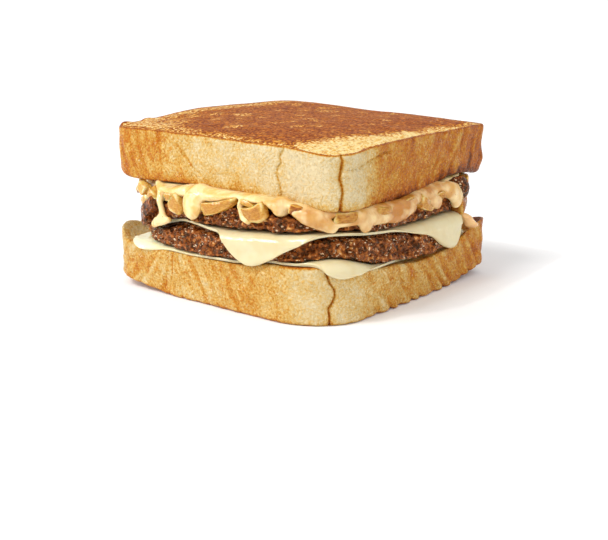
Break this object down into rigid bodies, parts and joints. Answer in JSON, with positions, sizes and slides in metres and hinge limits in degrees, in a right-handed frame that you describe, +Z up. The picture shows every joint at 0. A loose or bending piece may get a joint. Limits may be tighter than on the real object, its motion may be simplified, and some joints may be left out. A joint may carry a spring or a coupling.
{
  "type": "patty melt sandwich",
  "caption": "Square griddled sandwich: thick toasted bread round two beef patties, with melted cheese hanging over their edges, fried onions and a creamy sauce that runs down the sides",
  "frame": {"origin": "on the table, under the middle of the lower slice of bread, on its flat underside", "axes": "+Z up, the front of the sandwich to -Y, its right side to +X; the picture looks at the corner between them"},
  "size_m": [0.1202, 0.1212, 0.0677],
  "materials": {
    "bread": null,
    "cheese": null,
    "beef": null,
    "onion": null,
    "sauce": null
  },
  "bodies": {
    "root": {"bread_bottom": "bread", "cheese_bottom": "cheese", "patty_lower": "beef", "cheese_middle": "cheese", "patty_upper": "beef", "onions": "onion", "sauce": "sauce", "sauce_drop": "sauce", "bread_top": "bread"}
  },
  "joints": []
}
